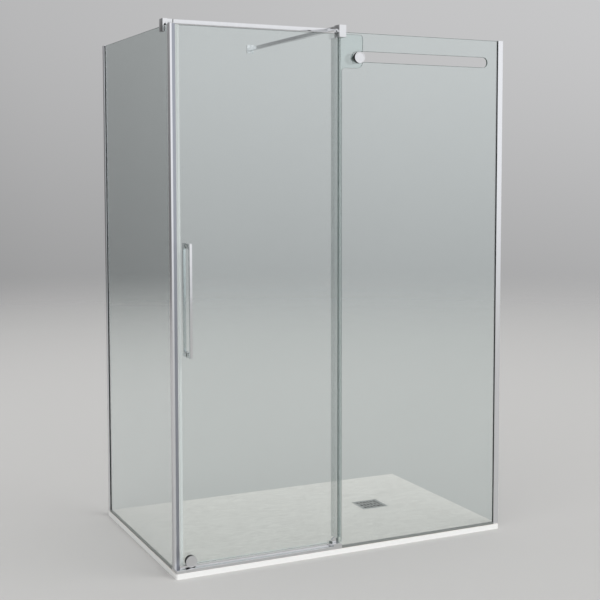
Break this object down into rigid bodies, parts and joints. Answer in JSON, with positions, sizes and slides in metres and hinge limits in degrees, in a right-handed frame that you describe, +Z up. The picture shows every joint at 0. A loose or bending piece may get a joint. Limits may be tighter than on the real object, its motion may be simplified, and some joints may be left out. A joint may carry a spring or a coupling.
{
  "type": "shower enclosure",
  "caption": "Corner shower enclosure on a low rectangular tray, with clear glass panes, a sliding glass door on rollers, a top stabiliser bar and a square drain grate.",
  "frame": {"origin": "centre of the tray's underside, on the floor", "axes": "+X to the right, towards the side wall, the way the door opens; +Y towards the back wall; +Z up"},
  "size_m": [1.4, 0.912, 2.036],
  "materials": {
    "toughened_glass": "polished",
    "polished_chrome": "mirror polished",
    "satin_aluminium": "satin anodised",
    "mineral_resin": "matte slate relief",
    "stainless_steel": "brushed",
    "plain_steel": "turned",
    "clear_seal": "smooth",
    "dark_rubber": "matte",
    "clear_rubber": "matte",
    "nylon": "smooth",
    "black_nylon": "smooth"
  },
  "bodies": {
    "frame": {"shower_tray": "mineral_resin", "side_glass": "toughened_glass", "side_wall_channel": "satin_aluminium", "side_channel_gasket": "dark_rubber", "side_channel_cap": "satin_aluminium", "side_sill_seal": "clear_seal", "corner_profile": "satin_aluminium", "corner_profile_cap": "satin_aluminium", "corner_magnet_strip": "dark_rubber", "fixed_glass": "toughened_glass", "front_wall_channel": "satin_aluminium", "front_channel_gasket": "dark_rubber", "front_channel_cap": "satin_aluminium", "front_sill_seal": "clear_seal", "fixed_edge_seal": "clear_seal", "corner_clamp": "polished_chrome", "corner_clamp_lining": "dark_rubber", "corner_clamp_screws": "plain_steel", "top_bar": "polished_chrome", "top_bar_plug": "black_nylon", "top_bar_screw": "plain_steel", "panel_clamp": "polished_chrome", "panel_clamp_cover": "polished_chrome", "panel_clamp_lining": "dark_rubber", "panel_clamp_screws": "plain_steel", "brace_bar": "polished_chrome", "wall_flange": "polished_chrome", "bottom_rail": "polished_chrome", "rail_end_block": "polished_chrome", "rail_dowels": "plain_steel", "guide_block": "polished_chrome", "guide_disc": "polished_chrome", "guide_stem": "plain_steel", "guide_disc_pad": "nylon"},
    "door": {"door_glass": "toughened_glass", "door_closing_seal": "clear_seal", "door_bottom_wiper": "clear_seal", "handle_outer_bar": "polished_chrome", "handle_outer_standoffs": "polished_chrome", "handle_inner_bar": "polished_chrome", "handle_inner_standoffs": "polished_chrome", "handle_gaskets": "clear_rubber", "handle_bolts": "plain_steel", "handle_sleeves": "nylon", "upper_roller_cap": "polished_chrome", "upper_roller_axle": "polished_chrome", "upper_roller_bush": "nylon", "upper_roller_washer": "nylon", "upper_roller_nut": "polished_chrome", "lower_roller_cap": "polished_chrome", "lower_roller_axle": "polished_chrome", "lower_roller_bush": "nylon", "lower_roller_washer": "nylon", "lower_roller_nut": "polished_chrome"},
    "upper_wheel": {"upper_wheel_tyre": "black_nylon", "upper_wheel_bearing": "plain_steel"},
    "lower_wheel": {"lower_wheel_tyre": "black_nylon", "lower_wheel_bearing": "plain_steel"},
    "grate": {"drain_grate": "stainless_steel"}
  },
  "joints": [
    {"name": "door_slide", "type": "slide", "parent": "frame", "child": "door", "axis": [1, 0, 0], "range_m": [0, 0.55]},
    {"name": "upper_wheel_spin", "type": "hinge", "parent": "door", "child": "upper_wheel", "pos_m": [0.042, -0.438, 1.907], "axis": [0, 1, 0], "range_deg": [-10, 2110]},
    {"name": "lower_wheel_spin", "type": "hinge", "parent": "door", "child": "lower_wheel", "pos_m": [-0.637, -0.4225, 0.055], "axis": [0, 1, 0], "range_deg": [-10, 1864]},
    {"name": "grate_lift", "type": "slide", "parent": "frame", "child": "grate", "axis": [0, 0, 1], "range_m": [0, 0.05]}
  ],
  "couplings": [
    {"joint": "upper_wheel_spin", "follows": "door_slide", "rad_per_m": 66.667},
    {"joint": "lower_wheel_spin", "follows": "door_slide", "rad_per_m": 58.824}
  ]
}
